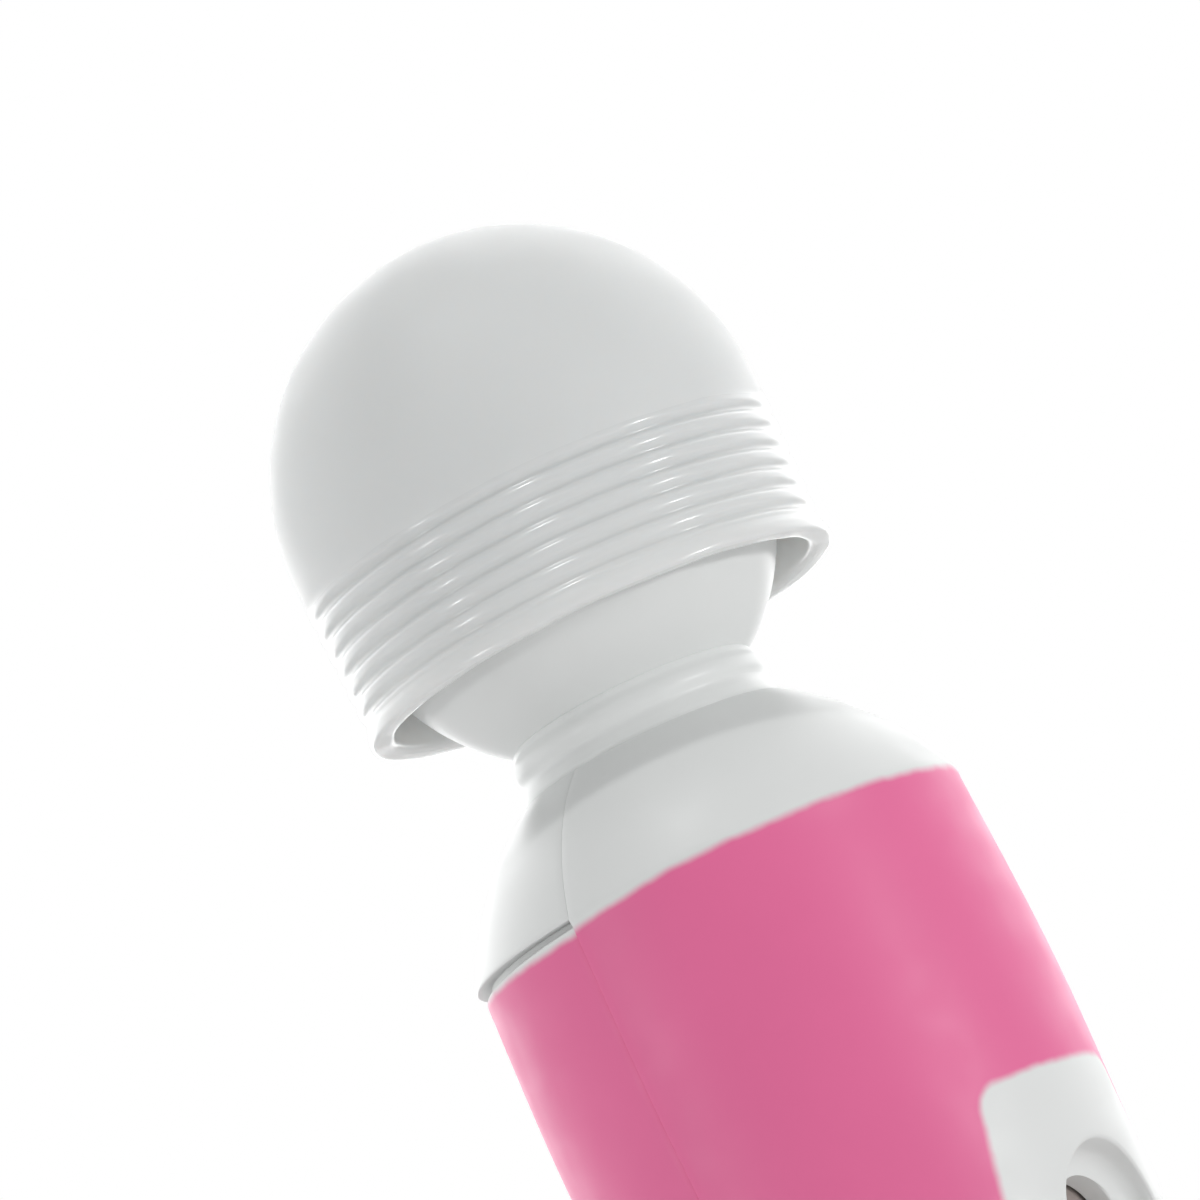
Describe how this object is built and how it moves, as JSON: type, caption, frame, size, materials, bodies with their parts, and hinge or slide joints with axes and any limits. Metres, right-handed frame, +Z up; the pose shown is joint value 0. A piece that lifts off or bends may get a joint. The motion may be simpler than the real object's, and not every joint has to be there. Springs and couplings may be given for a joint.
{
  "type": "handheld wand massager",
  "caption": "Compact battery wand massager: soft grooved head cap over a hard core, flexing ribbed neck, rounded handle with thumb slider and slide-off battery cover.",
  "frame": {"origin": "middle of the tail's flat end, which the massager stands on", "axes": "+Z up the handle's axis to the head, -Y towards the thumb slider, +Y towards the battery cover"},
  "size_m": [0.0426, 0.0422, 0.2],
  "materials": {
    "white_plastic": "satin moulded ABS, painted pink on the front shell below the shoulder except round the slider",
    "pink_paint": "satin sprayed paint on ABS",
    "soft_white": "smooth soft elastomer with a dull sheen",
    "grey_plastic": "moulded nylon",
    "black_plastic": "moulded nylon",
    "black_rubber": "soft damping rubber",
    "steel": "plated steel",
    "brass": "turned brass",
    "copper": "copper alloy strip",
    "board": "green solder mask on glass-epoxy",
    "cell_sleeve": "printed film sleeve, left plain",
    "ferrite": "sintered magnet and iron core",
    "red_lead": "red wire insulation",
    "black_lead": "black wire insulation"
  },
  "bodies": {
    "handle": {"front_shell": "white_plastic", "back_shell": "white_plastic", "neck_collar": "grey_plastic", "circuit_board": "board", "switch_housing": "steel", "shell_screw_upper_right": "steel", "shell_screw_upper_left": "steel", "shell_screw_lower_right": "steel", "shell_screw_lower_left": "steel", "board_screw_lower": "steel", "board_screw_upper": "steel", "battery_cell_lower_left": "cell_sleeve", "battery_cell_lower_right": "cell_sleeve", "battery_cell_upper_left": "cell_sleeve", "battery_cell_upper_right": "cell_sleeve", "lower_contact_plate": "steel", "contact_spring_left": "steel", "contact_spring_right": "steel", "upper_terminal_left": "steel", "upper_terminal_right": "steel", "battery_lead_left": "black_lead", "battery_lead_right": "red_lead"},
    "cover": {"battery_cover": "pink_paint"},
    "slider": {"slider_knob": "white_plastic", "switch_lever": "black_plastic"},
    "neck": {"neck_bellows": "soft_white", "neck_spring": "steel", "motor_lead_black": "black_lead", "motor_lead_red": "red_lead"},
    "head": {"head_cap": "soft_white", "lower_cup": "white_plastic", "upper_dome": "white_plastic", "clamp_ring": "grey_plastic", "clamp_screw_left": "steel", "clamp_screw_right": "steel", "motor_sleeve": "black_rubber", "motor_can": "steel", "motor_end_cap": "black_plastic", "rear_bearing": "brass", "front_bearing": "brass", "motor_terminal_left": "copper", "motor_terminal_right": "copper", "brush_left": "copper", "brush_right": "copper", "field_magnet_left": "ferrite", "field_magnet_right": "ferrite"},
    "rotor": {"motor_shaft": "steel", "eccentric_weight": "brass", "armature": "ferrite", "commutator": "copper"}
  },
  "joints": [
    {"name": "cover_slide", "type": "slide", "parent": "handle", "child": "cover", "axis": [0, 0, -1], "range_m": [0, 0.13]},
    {"name": "power_slide", "type": "slide", "parent": "handle", "child": "slider", "axis": [0, 0, 1], "range_m": [0, 0.008]},
    {"name": "neck_flex_x", "type": "hinge", "parent": "handle", "child": "neck", "pos_m": [0, 0, 0.157], "axis": [1, 0, 0], "range_deg": [-10, 10], "stiffness_Nm_per_rad": 0.75, "deforming": ["neck_bellows", "neck_spring"]},
    {"name": "neck_flex_y", "type": "hinge", "parent": "neck", "child": "head", "pos_m": [0, 0, 0.157], "axis": [0, 1, 0], "range_deg": [-10, 10], "stiffness_Nm_per_rad": 0.75, "deforming": ["motor_lead_black", "motor_lead_red"]},
    {"name": "rotor_spin", "type": "hinge", "parent": "head", "child": "rotor", "pos_m": [0, 0, 0.175], "axis": [0, 0, 1], "continuous": true}
  ]
}
